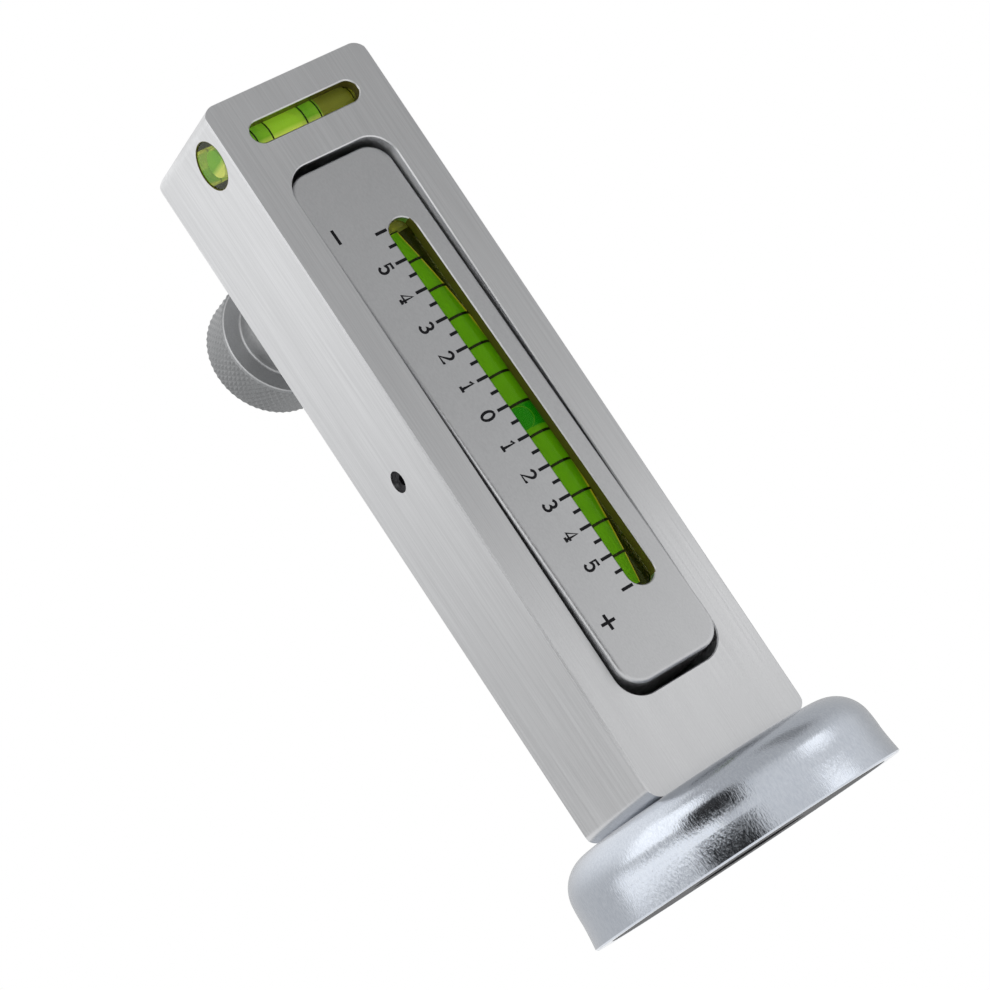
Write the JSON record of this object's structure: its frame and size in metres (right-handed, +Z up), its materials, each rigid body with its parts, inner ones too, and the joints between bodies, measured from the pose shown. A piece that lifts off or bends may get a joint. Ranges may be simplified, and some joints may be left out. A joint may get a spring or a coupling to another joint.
{
  "type": "camber caster gauge",
  "caption": "Wheel alignment gauge: a brushed block on a round pot magnet, with a rocking plate that carries a graduated vial, a short cross vial and a knurled zero knob.",
  "frame": {"origin": "centre of the magnet's flat face, in the mouth of the ring's bore", "axes": "+Z up the block, away from the magnet; -Y out of the face with the scale; +Y towards the knob; +X to the right of the scale"},
  "size_m": [0.0606, 0.0725, 0.152],
  "materials": {
    "brushed_aluminium": "brushed along the block, satin",
    "satin_aluminium": "fine matte",
    "plated_steel": "bright zinc plating",
    "knob_steel": "turned and knurled",
    "bright_steel": "bright",
    "black_steel": "black oxide",
    "ferrite": "dull, ground flat",
    "pad_brass": "turned",
    "vial_acrylic": "clear acrylic with a yellow tint",
    "vial_plug": "gloss",
    "vial_fluid": "clear yellow-green fluid",
    "bubble": "clear"
  },
  "bodies": {
    "stand": {"body_block": "brushed_aluminium", "magnet_cup": "plated_steel", "magnet_ring": "ferrite", "magnet_screw": "black_steel", "pivot_screw_left": "black_steel", "pivot_screw_right": "black_steel", "cross_vial_tube": "vial_acrylic", "cross_vial_plug": "vial_plug", "cross_vial_fluid": "vial_fluid", "cross_bubble": "bubble", "return_spring": "bright_steel"},
    "pad": {"thrust_pad": "pad_brass"},
    "knob": {"adjuster_knob": "knob_steel", "adjuster_screw": "bright_steel"},
    "plate": {"camber_plate": "satin_aluminium", "camber_vial_tube": "vial_acrylic", "camber_vial_plug": "vial_plug", "camber_vial_fluid": "vial_fluid", "camber_bubble": "bubble", "vial_retainer": "satin_aluminium"}
  },
  "joints": [
    {"name": "pad_slide", "type": "slide", "parent": "stand", "child": "pad", "axis": [0, -1, 0], "range_m": [-0.00042, 0.00326]},
    {"name": "knob_turn", "type": "hinge", "parent": "pad", "child": "knob", "pos_m": [0, 0.03, 0.1228], "axis": [0, -1, 0], "range_deg": [-150, 1175]},
    {"name": "plate_tilt", "type": "hinge", "parent": "stand", "child": "plate", "pos_m": [0, -0.0005, 0.083], "axis": [1, 0, 0], "range_deg": [-0.6, 4.7], "deforming": ["return_spring"]}
  ],
  "couplings": [
    {"joint": "knob_turn", "follows": "pad_slide", "rad_per_m": 6283.2},
    {"joint": "plate_tilt", "follows": "pad_slide", "rad_per_m": 25.11}
  ]
}
